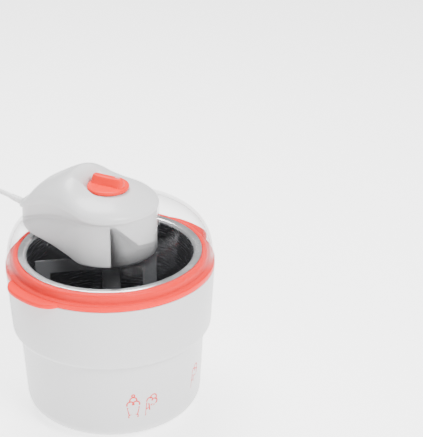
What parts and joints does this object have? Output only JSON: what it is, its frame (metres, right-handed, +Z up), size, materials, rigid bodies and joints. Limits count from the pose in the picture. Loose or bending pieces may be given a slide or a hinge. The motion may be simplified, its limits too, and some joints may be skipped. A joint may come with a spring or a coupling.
{
  "type": "ice cream maker",
  "caption": "Small ice cream maker: stepped round jacket, coral collar, metal freezer bowl, clear domed lid with a pouring notch and a lift-off motor unit.",
  "frame": {"origin": "on the bowl's axis, on the surface that the rubber feet stand on", "axes": "+Z up along the bowl's axis; -Y towards the viewer; the motor unit's arm points to -X and back, and the pouring notch is at +X and -Y"},
  "size_m": [0.331, 0.2845, 0.2488],
  "materials": {
    "white_plastic": "satin moulded white plastic",
    "coral_plastic": "satin moulded coral plastic",
    "clear_plastic": "clear moulded plastic",
    "smoke_plastic": "smoke grey translucent plastic",
    "grey_plastic": "moulded grey plastic",
    "bowl_metal": "spun aluminium",
    "steel": "zinc-plated steel",
    "bronze": "sintered bronze",
    "nylon": "natural nylon",
    "rubber": "black rubber",
    "coolant": "frozen gel",
    "cord_plastic": "light grey flexible vinyl"
  },
  "bodies": {
    "base": {"outer_housing": "white_plastic", "base_plate": "grey_plastic", "base_screw_1": "steel", "base_screw_2": "steel", "base_screw_3": "steel", "base_screw_4": "steel", "rubber_foot_1": "rubber", "rubber_foot_2": "rubber", "rubber_foot_3": "rubber", "rubber_foot_4": "rubber"},
    "collar": {"collar_ring": "coral_plastic"},
    "bowl": {"inner_bowl": "bowl_metal", "bowl_gasket": "rubber", "bowl_shell": "grey_plastic", "fill_plug": "rubber", "coolant_gel": "coolant"},
    "paddle": {"paddle": "smoke_plastic"},
    "lid": {"clear_lid": "clear_plastic"},
    "drive": {"lower_cover": "white_plastic", "upper_cover": "white_plastic", "cover_screw_1": "steel", "cover_screw_2": "steel", "cover_screw_3": "steel", "deck_screw_1": "steel", "deck_screw_2": "steel", "deck_screw_3": "steel", "gear_deck": "steel", "lower_bush": "bronze", "upper_bush": "bronze", "idler_axle": "steel", "motor_can": "steel", "motor_screw_1": "steel", "motor_screw_2": "steel", "switch_body": "grey_plastic", "strain_relief": "cord_plastic", "power_cord": "cord_plastic", "cord_coil": "cord_plastic", "cord_tail": "cord_plastic", "mains_plug": "cord_plastic", "plug_pin_1": "steel", "plug_pin_2": "steel"},
    "output": {"output_gear": "nylon"},
    "idler": {"idler_gear": "nylon"},
    "rotor": {"motor_rotor": "steel"},
    "knob": {"switch_knob": "coral_plastic", "switch_spindle": "nylon"}
  },
  "joints": [
    {"name": "collar_lift", "type": "slide", "parent": "base", "child": "collar", "axis": [0, 0, 1], "range_m": [0, 0.05]},
    {"name": "bowl_lift", "type": "slide", "parent": "collar", "child": "bowl", "axis": [0, 0, 1], "range_m": [0, 0.14]},
    {"name": "lid_lift", "type": "slide", "parent": "bowl", "child": "lid", "axis": [0, 0, 1], "range_m": [0, 0.08]},
    {"name": "drive_lift", "type": "slide", "parent": "lid", "child": "drive", "axis": [0, 0, 1], "range_m": [0, 0.06]},
    {"name": "paddle_spin", "type": "hinge", "parent": "bowl", "child": "paddle", "pos_m": [0, 0, 0.1], "axis": [0, 0, 1], "continuous": true},
    {"name": "output_spin", "type": "hinge", "parent": "drive", "child": "output", "pos_m": [0, 0, 0.18], "axis": [0, 0, 1], "continuous": true},
    {"name": "idler_spin", "type": "hinge", "parent": "drive", "child": "idler", "pos_m": [-0.024, 0.00999, 0.19], "axis": [0, 0, 1], "continuous": true},
    {"name": "rotor_spin", "type": "hinge", "parent": "drive", "child": "rotor", "pos_m": [-0.04801, 0.01998, 0.19], "axis": [0, 0, 1], "continuous": true},
    {"name": "knob_turn", "type": "hinge", "parent": "drive", "child": "knob", "pos_m": [0, 0, 0.235], "axis": [0, 0, -1], "range_deg": [0, 45]}
  ],
  "couplings": [
    {"joint": "output_spin", "follows": "paddle_spin", "ratio": 1},
    {"joint": "idler_spin", "follows": "paddle_spin", "ratio": -3.3333},
    {"joint": "rotor_spin", "follows": "paddle_spin", "ratio": 14}
  ]
}
